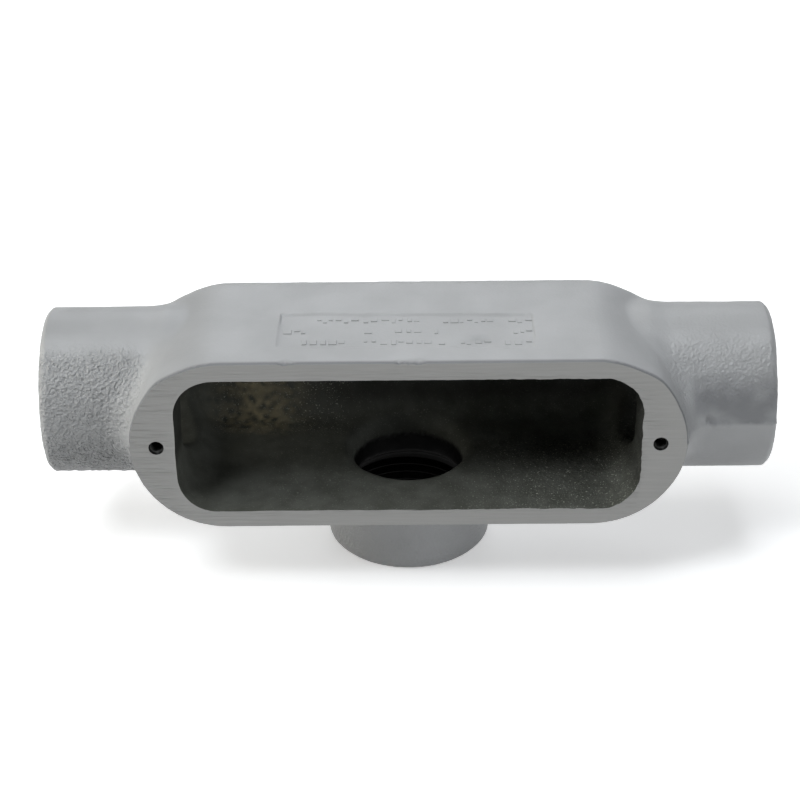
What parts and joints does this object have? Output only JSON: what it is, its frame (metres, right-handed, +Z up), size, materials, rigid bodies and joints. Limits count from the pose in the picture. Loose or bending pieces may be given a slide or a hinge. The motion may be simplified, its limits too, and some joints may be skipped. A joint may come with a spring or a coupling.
{
  "type": "conduit body",
  "caption": "Cast T-shaped conduit body, long slot opening in front without its cover, with a tapped hub at each end and one below.",
  "frame": {"origin": "centre of the branch hub's mouth, on the plane that the part stands on", "axes": "+X along the run, from the left hub to the right; +Y from the cover opening to the back; +Z up, from the branch hub's mouth to the body"},
  "size_m": [0.17, 0.0477, 0.0614],
  "materials": {
    "casting": "aluminium-grey enamel over the rough casting, bare ground cover face"
  },
  "bodies": {
    "root": {"conduit_body": "casting"}
  },
  "joints": []
}
